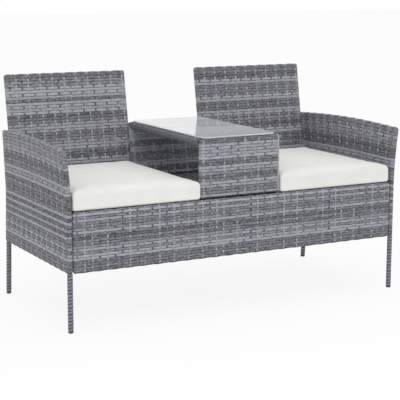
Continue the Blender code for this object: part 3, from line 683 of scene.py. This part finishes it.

# %% [markdown]
# ## Console
#
# An upright panel in front, a leaning one at the rear, and a wound rail on each side between them;
# the space inside is a storage bay. A wound rail has two strands on a helix, a dark one and a paler one
# side by side, and the tree sweeps them like any other path.

# %% Console
# The last band, for the row that curls under each panel's lower edge, has the darkest tone: painted shadow of
# the gap below the panel.
CONSOLE_BANDS_AND_SHADOW_ROW = [(0.020, 0.25), (0.080, 0.8), (0.103, 0.3), (0.124, 0.8), (0.158, 0.3), (0.178, 0.8),
                 (0.202, 0.3), (0.2115, 0.8), (0.300, 0.0)]
WOUND_T, WOUND_SHARE = 0.0013, 0.48        # a wound strand's thickness, and its width as a share of the pitch
RAIL_PITCH, RAIL_TONES, RAIL_SEEDS = 0.0118, (0.02, 0.32), {"left": 57, "right": 59}
for name, up, out, seed in (("console_front", Vector((0, 0, 1)), Vector((0, 1, 0)), 41),
                            ("console_rear", lean_up, lean_out, 51)):
    width, length, put = leaning_panel(name, up, out)
    woven_panel(name, width, length, put, CONSOLE_BANDS_AND_SHADOW_ROW,
                pitch=0.0114, first=0.0143, step=0.0286, pattern="LMDLDDLMLDDL", seed=seed)


def wound(name, length, radius, pitch, put, tones, seed):
    """Two strands wound side by side along a tube, trimmed flat at its ends, in place of its sleeve."""
    starts = [(0, -pitch / 2, tones[0], 1), (0, 0, tones[1], 1)]
    made = strands(name, helix_path(length + pitch / 2, radius - WOUND_T / 2, pitch), starts,
                   pitch * WOUND_SHARE, WOUND_T, 0.0, (0, 0, 0), ROW_FACETS, seed)
    finished(made, lambda u, v, w: put(u, np.clip(v, 0, length), w))
    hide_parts(name + "_wrap")


for side_name, seed in RAIL_SEEDS.items():
    name = "console_" + side_name + "_rail"
    low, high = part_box(name + "_wrap")
    middle = (low + high) / 2
    wound(name, high.y - low.y, (high.x - low.x) / 2, RAIL_PITCH,
          flat_put((middle.x, low.y, middle.z), (1, 0, 0), (0, 1, 0), (0, 0, 1)), RAIL_TONES, seed)
print("console ready")

# %% [markdown]
# ## Arms
#
# An arm is one panel from its top edge down to the lower edge of the side. It is woven flat like
# the others, and then bent: it bulges up in the middle, flares out towards the front and leans back
# at the rear. The formula is the one that shaped the tube inside it.

# %% Arms
ARM_BULGE, ARM_FLARE, FLARE_POWER, ARM_TOE_IN = 0.011, 0.017, 1.7, 0.005
LEG_X, ARM_TOP, RAIL_Z = 0.677, 0.634, 0.4122
REAR_TOP_SHIFT, REAR_FOOT_SHIFT = 0.038, 0.030
REAR_EASE = 0.008      # the strands stand this far off the rear tube, which closes the slit beside the back
NORMAL_STEP = 0.0012   # how far apart the surface is read to find which way it faces
ARM_WIDTH, ARM_LOW = 0.6039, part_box("left_arm_cover")[0].z
ARM_HEIGHT, SEAT_V = ARM_TOP - ARM_LOW, RAIL_Z - ARM_LOW
front_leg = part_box("left_front_leg_wrap")
FRONT_Y = (front_leg[0].y + front_leg[1].y) / 2


def rear_shift(z):
    """How far back the rear leg is at a height: it leans both ways from the seat."""
    return np.where(z > RAIL_Z, REAR_TOP_SHIFT * (z - RAIL_Z) / (ARM_TOP - RAIL_Z),
                    REAR_FOOT_SHIFT * (RAIL_Z - z) / RAIL_Z)


def arm_middle(u, v, side):
    """The middle surface of an arm, u from front to rear and v up."""
    bulge = ARM_BULGE * np.sin(np.pi * np.clip(u / ARM_WIDTH, 0, 1))
    z = ARM_LOW + v + bulge * np.clip((v - SEAT_V) / (ARM_HEIGHT - 2 * RIM - SEAT_V), 0, 1)
    y = FRONT_Y + u - RIM + rear_shift(z) * np.clip((u - 2 * RIM) / (ARM_WIDTH - 4 * RIM), 0, 1)
    lift = np.clip((v - SEAT_V) / (ARM_HEIGHT - SEAT_V), 0, 1)
    rearward = np.clip(u / ARM_WIDTH, 0, 1)
    flare = ARM_FLARE * lift ** FLARE_POWER * (1 - rearward) - ARM_TOE_IN * lift * rearward
    return np.stack([side * (LEG_X + flare), y, z], 1)


def arm_put(side):
    """A put function for an arm; w is measured along the bent surface's own normal."""
    def put(u, v, w):
        along = arm_middle(u + NORMAL_STEP, v, side) - arm_middle(u - NORMAL_STEP, v, side)
        up = arm_middle(u, v + NORMAL_STEP, side) - arm_middle(u, v - NORMAL_STEP, side)
        normal = np.cross(along, up)
        normal /= np.linalg.norm(normal, axis=1)[:, None]
        return arm_middle(u, v, side) + normal * (side * w)[:, None]
    return put


ARM_BANDS = [(0.030, 0.35), (0.070, 0.5), (0.078, 0.1), (0.087, 0.68), (0.123, 0.18), (0.136, 0.68),
             (0.162, 0.6), (0.189, 0.24), (0.201, 0.68), (0.215, 0.18), (0.229, 0.68), (0.241, 0.18),
             (0.253, 0.68), (0.266, 0.18), (0.280, 0.68), (0.291, 0.18), (0.304, 0.68), (0.338, 0.24),
             (0.350, 0.68), (0.363, 0.18), (0.377, 0.68), (0.500, 0.24)]
for name, side, seed in (("left_arm", -1, 61), ("right_arm", 1, 71)):
    woven_panel(name, ARM_WIDTH + REAR_EASE, ARM_HEIGHT, arm_put(side), ARM_BANDS,
                pitch=0.0125, first=0.0184, step=0.0247, pattern="DL", seed=seed)

# %% [markdown]
# ## Legs
#
# Below the panels each leg is wound from top to bottom with two strands, a dark one and a pale one.
# The rear legs lean, so the winding follows the line from its upper end to its lower end.

# %% Legs
KNEE_Y = FRONT_Y + ARM_WIDTH - 2 * RIM
LEG_TUCK = 0.003       # how far the winding goes up into the weave of the arm
LEG_PITCH, LEG_TONES = 0.0122, (0.08, 0.62)
LEGS = {"left_front_leg": (-1, 84), "left_rear_leg": (-1, 83), "right_front_leg": (1, 88),
        "right_rear_leg": (1, 87)}         # side and seed


def leg_put(name, side, foot):
    """A put function for the winding round a leg, from the height of its foot up."""
    def put(u, v, w):
        z = v + foot
        y = KNEE_Y + rear_shift(z) if "rear" in name else FRONT_Y + 0 * z
        return np.stack([side * LEG_X + u, y + w, z], 1)
    return put


for name, (side, seed) in LEGS.items():
    low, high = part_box(name + "_wrap")
    wound(name, high.z - low.z + LEG_TUCK, RIM, LEG_PITCH, leg_put(name, side, low.z), LEG_TONES, seed)
print("legs wound")

# %% [markdown]
# ## Seat decks and storage floor
#
# Under each cushion, and at the bottom of the storage bay, a single flat layer of webbing spans
# the seat frame. It is the same weave, laid flat, with wider strands. Under the storage floor a dark sheet
# is painted shade: it keeps daylight from coming up between its strands and under the console's front and
# rear.

# %% Decks
DECK_PITCH, DECK_STEP = 0.0155, 0.040
DECK_ROW = (0.0151, 0.0009, 0.0004)        # width, thickness and bow
DECK_STAKE = (0.0180, 0.0008, 0.0003)
DECK_POINTS, DECK_TONE = 4, 0.3
DECK_RISE = 0.0003         # the webbing lies this far above the middle of its solid
DECKS = {"left_seat_deck": (91, 0.0), "right_seat_deck": (93, 0.0),
         "storage_floor": (95, 0.004)}     # seed, and how far it goes on under the front and the rear
FLOOR_SHADE_SHEET = 0.0010      # the painted shade sheet under the storage floor lies this far below the webbing
FLOOR_TURN_IN = 0.016      # and is turned in this far under the console's front and rear
for node, (seed, reach) in DECKS.items():
    low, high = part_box(node)
    low.y, high.y = low.y - reach, high.y + reach
    width, depth = high.x - low.x, high.y - low.y
    put = flat_put((low.x, low.y, (low.z + high.z) / 2 + DECK_RISE), (1, 0, 0), (0, 1, 0), (0, 0, -1))
    rows, stakes = int(depth / DECK_PITCH), int(width / DECK_STEP)
    pace_y, pace_x = depth / rows, width / stakes
    starts = [(0, pace_y * (k + 0.5), varied(DECK_TONE), (-1) ** k) for k in range(rows)]
    made = strands(node + "_rows", open_path(width, pace_x / 2, pace_x, DECK_POINTS, False), starts,
                   *DECK_ROW, (0, 0, WANDER / 2), STAKE_FACETS, seed)
    starts = [(pace_x * (k + 0.5), 0, varied(DECK_TONE), -(-1) ** k) for k in range(stakes)]
    crossed = strands(node + "_stakes", open_path(depth, pace_y / 2, pace_y, STAKE_POINTS, True), starts,
                      *DECK_STAKE, (WANDER / 2, 0, 0), STAKE_FACETS, seed + 1)
    # Under the storage floor a dark sheet is laid as painted shade.
    if node == "storage_floor":
        finished(shade_sheet(node, width, depth + 2 * FLOOR_TURN_IN, FLOOR_SHADE_SHEET, edge=SHADE_SHEET_T),
                 lambda u, v, w: put(u, v - FLOOR_TURN_IN, w))
    finished(made, put)
    finished(crossed, put)
    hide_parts(node)
    print(node, "rows", rows, "stakes", stakes)

# %% [markdown]
# ## Cushions
#
# Each seat cushion is a foam block in a sewn cover of off-white woven polyester, boxy, with soft edges.
# A plain block would look stiff. So the skin of a block that is cut a little wide becomes cloth,
# and air pressure fills it for twenty frames, as foam fills a tight cover: the top crowns
# and the sides pull in between the corners. The underside is pinned, because it lies on the deck.
# Both cushions come from one pattern, so one is filled, and the other is its mirror image.

# %% Cushion cloth
CLOTH_PALE, CLOTH_DEEP = "#edede7", "#e6e6df"
THREAD = 0.0014            # the real threads are 0.5 mm apart, drawn coarser so that they show from near
SLUB = 0.0028              # threads have thicker places about this long
PATCH = 0.05               # very faint clouds, as in any undyed cloth
MOTTLE_LOW, MOTTLE_HIGH = 0.12, 0.40       # clouds times slubs seldom leave this range

cloth_finish, tree = new_material("woven polyester, off-white")
place = add_node(tree, "ShaderNodeTexCoord")
cloud = add_node(tree, "ShaderNodeTexNoise",
                 {"Vector": place.outputs["Object"], "Scale": 1 / PATCH, "Detail": 3.0})
slub = add_node(tree, "ShaderNodeTexNoise",
                {"Vector": place.outputs["Object"], "Scale": 1 / SLUB, "Detail": 1.0})
mottle = add_node(tree, "ShaderNodeMath", {0: cloud, 1: slub}, operation="MULTIPLY")
mottle = add_node(tree, "ShaderNodeMapRange",
                  {"Value": mottle, "From Min": MOTTLE_LOW, "From Max": MOTTLE_HIGH})
colour = add_node(tree, "ShaderNodeMix", {"Factor": mottle, 6: linear(CLOTH_DEEP), 7: linear(CLOTH_PALE)},
                  data_type="RGBA")
threads = 0.0
for axis in "XYZ":
    wave = add_node(tree, "ShaderNodeTexWave",
                    {"Vector": place.outputs["Object"], "Scale": wave_scale(THREAD), "Distortion": 0.4},
                    bands_direction=axis)
    threads = add_node(tree, "ShaderNodeMath", {0: threads, 1: wave.outputs[1]}, operation="ADD")
bump = add_node(tree, "ShaderNodeBump", {"Strength": 0.25, "Distance": 0.00012, "Height": threads})
weft = add_node(tree, "ShaderNodeBsdfPrincipled",
                {"Base Color": colour.outputs[2], "Roughness": 0.85, "Specular IOR Level": 0.25,
                 "Sheen Weight": 0.15, "Sheen Roughness": 0.5, "Normal": bump})
add_node(tree, "ShaderNodeOutputMaterial", {"Surface": weft})
print("cloth ready")

# %% [markdown]
# ### The block, the filling and the seams
#
# The block has round corners in plan, a soft top edge and a tighter lower edge.
# After the filling, seams are pressed in where the top panel and the base panel meet the boxing,
# with small gathers beside them, because each stitch pulls the cloth in a little.

# %% Cushions
FABRIC_PROUD = 0.003       # how far the cloth may swell beyond the solid's sides
CUT_WIDE = 0.001           # how much wider than the solid the cover is cut on every side
CROWN = 0.010              # how far the top's middle rises above its edge on the solid
CORNER_R, TOP_EDGE_R, LOW_EDGE_R = 0.008, 0.011, 0.006
LEAST_CORNER = 0.004       # the least radius of a corner in plan, where an edge rounds in
SIDE_DRAW, TOP_CROWN = 0.0015, 0.007  # how far the cut draws the sides in and crowns the top
PLAN_STEPS, EDGE_STEPS = 5, 4
CELL = 0.006               # voxel size of the cloth
PRESSURE, FRAMES, QUALITY = 4.0, 20, 5  # quality is the number of steps in each frame
FILL_CAP = 0.006           # the farthest filling may move a point
CORNER_HOLD = 0.03         # how far from an upright corner the foam keeps the cloth from pulling in
HELD = 0.8                 # the share of the move it takes back at the corner itself
SEAM_DEEP, SEAM_WIDE, SEAM_REACH = 0.0011, 0.0026, 0.02
GATHER, GATHER_LONG = 0.0005, 0.016  # depth and spacing of the gathers
GATHER_DRIFT, DRIFT_RATE = 2.1, 37.0       # their spacing drifts by this phase, this fast along the seam


def block_outline(width, depth, radius):
    """The points of a rectangle with round corners, round its own middle."""
    points = []
    for quarter, (sx, sy) in enumerate(((1, 1), (-1, 1), (-1, -1), (1, -1))):
        for k in range(PLAN_STEPS + 1):
            a = math.pi / 2 * (quarter + k / PLAN_STEPS)
            points.append((sx * (width / 2 - radius) + radius * math.cos(a),
                           sy * (depth / 2 - radius) + radius * math.sin(a)))
    return points


def block(name, low, high, top):
    """The block that the cover starts from, as a closed mesh."""
    width, depth, tall = high.x - low.x, high.y - low.y, top - low.z
    turns = [math.pi / 2 * k / EDGE_STEPS for k in range(EDGE_STEPS + 1)]
    levels = [(LOW_EDGE_R * (1 - math.sin(a)), LOW_EDGE_R * (1 - math.cos(a))) for a in turns]
    levels += [(TOP_EDGE_R * (1 - math.cos(a)), tall - TOP_EDGE_R * (1 - math.sin(a))) for a in turns]
    bm = bmesh.new()
    rings = []
    for inset, z in levels:
        plan = block_outline(width - 2 * inset, depth - 2 * inset, max(CORNER_R - inset / 2, LEAST_CORNER))
        rings.append([bm.verts.new((x, y, low.z + z)) for x, y in plan])
    for a, b in zip(rings, rings[1:]):
        for i in range(-len(a), 0):
            bm.faces.new([a[i], a[i + 1], b[i + 1], b[i]])
    bm.faces.new(rings[0][::-1])
    bm.faces.new(rings[-1])
    return built(name, bm)


def drawn(places, half_x, half_y, tall):
    """Pulls the sides in between the corners and raises the crown, on points round the middle."""
    x, y, z = places.T
    across, along = np.clip(x / half_x, -1, 1), np.clip(y / half_y, -1, 1)
    middle_x, middle_y = np.cos(across * math.pi / 2), np.cos(along * math.pi / 2)
    places = places.copy()
    places[:, 0] -= across * np.abs(across) ** 3 * SIDE_DRAW * middle_y
    places[:, 1] -= along * np.abs(along) ** 3 * SIDE_DRAW * middle_x
    places[:, 2] += np.clip(z / tall, 0, 1) * TOP_CROWN * (middle_x * middle_y) ** 0.5
    return places


def filled(made, floor_z):
    """Fills the cover by cloth simulation: pressure from inside, no gravity, its underside pinned."""
    start = vertex_places(made.data)
    pinned = made.vertex_groups.new(name="underside")
    pinned.add([int(i) for i in np.nonzero(start[:, 2] < floor_z + CELL / 2)[0]], 1.0, "REPLACE")
    cloth = made.modifiers.new("fill", "CLOTH")
    cloth.settings.quality = QUALITY
    cloth.settings.use_pressure = True
    cloth.settings.uniform_pressure_force = PRESSURE
    cloth.settings.effector_weights.gravity = 0.0
    cloth.settings.vertex_group_mass = "underside"
    cloth.point_cache.frame_start, cloth.point_cache.frame_end = 1, FRAMES
    for frame_number in range(1, FRAMES + 1):
        bpy.context.scene.frame_set(frame_number)
    swollen = vertex_places(applied(made))
    bpy.context.scene.frame_set(1)
    made.vertex_groups.clear()
    move = swollen - start
    length = np.linalg.norm(move, axis=1)
    share = FILL_CAP * np.tanh(length / FILL_CAP) / np.maximum(length, 1e-9)
    centre = (start.min(0) + start.max(0)) / 2
    to_corner = np.abs(start - centre) - (start.max(0) - centre)
    reach = np.hypot(to_corner[:, 0], to_corner[:, 1])
    share *= 1 - HELD * np.exp(-(reach / CORNER_HOLD) ** 2)
    set_places(made.data, start + move * share[:, None])
    print("filled by up to", round(float(length.max()) * 1000, 1), "mm, capped at", FILL_CAP * 1000)


def seamed(mesh, low, high, top_z):
    """Presses the seams in, with gathers beside them, and keeps the cushion in its room."""
    places = vertex_places(mesh)
    x, y, z = places.T
    middle, half = (low + high) / 2, (high - low) / 2
    inset = np.minimum(half.x - np.abs(x - middle.x), half.y - np.abs(y - middle.y))
    press = np.zeros(len(places))
    run = x + y
    gather = 0.5 + 0.5 * np.sin(2 * math.pi * run / GATHER_LONG + GATHER_DRIFT * np.sin(run * DRIFT_RATE))
    near = (inset < SEAM_REACH).astype(float)
    for off in (inset - (top_z - z), inset - (z - low.z)):
        press += near * SEAM_DEEP * np.exp(-(off / SEAM_WIDE) ** 2)
        press += near * GATHER * gather * np.exp(-(off / (4 * SEAM_WIDE)) ** 2)
    places = places - vertex_places(mesh, "normal") * press[:, None]
    places[:, 0] = np.clip(places[:, 0], low.x - FABRIC_PROUD, high.x + FABRIC_PROUD)
    places[:, 1] = np.clip(places[:, 1], low.y - FABRIC_PROUD, high.y + FABRIC_PROUD)
    places[:, 2] = np.clip(places[:, 2], low.z, None)
    set_places(mesh, places)


low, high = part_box("left_cushion")
middle, room = Vector((low.x + high.x, low.y + high.y, 0)) / 2, Vector((CUT_WIDE, CUT_WIDE, 0))
edge_top = high.z - CROWN
cushion = block("left_stuffed_cushion", low - room - middle, high + room - middle, edge_top + CUT_WIDE / 2)
remesh = cushion.modifiers.new("voxels", "REMESH")
remesh.mode, remesh.voxel_size = "VOXEL", CELL
applied(cushion)
places = vertex_places(cushion.data) - np.array((0, 0, low.z))
places = drawn(places, (high.x - low.x) / 2, (high.y - low.y) / 2, high.z - low.z)
set_places(cushion.data, places + np.array((middle.x, middle.y, low.z)))
print("cover points:", len(cushion.data.vertices))
filled(cushion, low.z)
smoother = cushion.modifiers.new("smooth", "SMOOTH")
smoother.factor, smoother.iterations = 0.5, 1
finer = cushion.modifiers.new("finer", "SUBSURF")
finer.levels = finer.render_levels = 1
applied(cushion)
seamed(cushion.data, low, high, edge_top)
cushion.data.shade_smooth()
cushion.data.materials.clear()
cushion.data.materials.append(cloth_finish)

mirror = linked("right_stuffed_cushion", cushion.data.copy())
set_places(mirror.data, vertex_places(mirror.data) * np.array((-1, 1, 1)))
mirror.data.flip_normals()
for piece, node in ((cushion, "left_cushion"), (mirror, "right_cushion")):
    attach(piece, node)
    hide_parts(node)
    places = vertex_places(piece.data)
    print(piece.name, "from", places.min(0).round(4), "to", places.max(0).round(4))

# %% [markdown]
# ## Glass
#
# The console's top is tempered float glass, 5 mm thick, with a ground edge. The camera looks at it
# from a low angle, so it mirrors what is behind it: white sky on the left, the right back on the right.
# Its body is a little milky, as satin glass is, so the bay below doesn't show through.

# %% Glass
GLASS_BODY = "#f1f5f3"
HAZE = 0.12                # slow changes in how matt the surface is, 120 mm across: wiped, not polished
glass_finish, tree = new_material("tempered float glass, satin")
place = add_node(tree, "ShaderNodeTexCoord")
haze = add_node(tree, "ShaderNodeTexNoise",
                {"Vector": place.outputs["Object"], "Scale": 1 / HAZE, "Detail": 2.0})
matt = add_node(tree, "ShaderNodeMapRange", {"Value": haze, "To Min": 0.03, "To Max": 0.08})
pane = add_node(tree, "ShaderNodeBsdfPrincipled",
                {"Base Color": linear(GLASS_BODY), "Roughness": matt, "IOR": 1.52,
                 "Transmission Weight": 0.45})
add_node(tree, "ShaderNodeOutputMaterial", {"Surface": pane})
print("glass ready")

# %% [markdown]
# ## Steel, zinc, moulded feet and bumpers
#
# What stays of the plain solids is the metal inside, the screws, the feet under the legs
# and the clear dots under the glass. Each gets the finish that the real part has.
# Powder coat is sprayed as dust and baked, which leaves an orange-peel skin.
# Zinc plating shows faint crystals. A moulded foot is satin, with fine grit from the mould.

# %% Finishes of the solids
PEEL, CRYSTAL, GRIT = 0.0016, 0.003, 0.0006    # the size of each pattern on the real part, in metres
SOLID_FINISHES = {         # name, two shades, roughness from and to, metallic, size of the pattern
    "powder_coated_steel": ("powder-coated mild steel, black", "#1a1a1c", "#26262a", 0.42, 0.55, 0.0, PEEL),
    "zinc_plated_steel": ("zinc-plated steel", "#a9abae", "#c9cbcd", 0.28, 0.42, 1.0, CRYSTAL),
    "moulded_black": ("moulded polypropylene, black", "#141415", "#1f1f21", 0.45, 0.60, 0.0, GRIT),
    "clear_bumper": ("cast polyurethane, clear", "#dfe3e6", "#eef1f3", 0.20, 0.35, 0.0, GRIT)}
finishes = {"tempered_glass": glass_finish}
for slot, (name, dark, pale, smooth, rough, metal, size) in SOLID_FINISHES.items():
    made, tree = new_material(name)
    grain, colour = mottled(tree, size, dark, pale)
    matt = add_node(tree, "ShaderNodeMapRange", {"Value": grain, "To Min": smooth, "To Max": rough})
    bump = add_node(tree, "ShaderNodeBump", {"Strength": 0.2, "Distance": size / 20, "Height": grain})
    solid = add_node(tree, "ShaderNodeBsdfPrincipled",
                     {"Base Color": colour, "Roughness": matt, "Metallic": metal, "Normal": bump})
    add_node(tree, "ShaderNodeOutputMaterial", {"Surface": solid})
    finishes[slot] = made

dressed_solids = 0
for row in frame["record"]["subparts"]:
    if row["material_slot"] in finishes:
        for slot in bpy.data.objects[row["node"]].material_slots:
            slot.material = finishes[row["material_slot"]]
            dressed_solids += 1
print("solids with a finish:", dressed_solids)

# %% [markdown]
# ## The dressed bench
#
# The box of all that is shown is worked out and printed.

# %% The end
dressed = [list(corner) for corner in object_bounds()]
print("dressed:", [[round(c, 4) for c in corner] for corner in dressed])
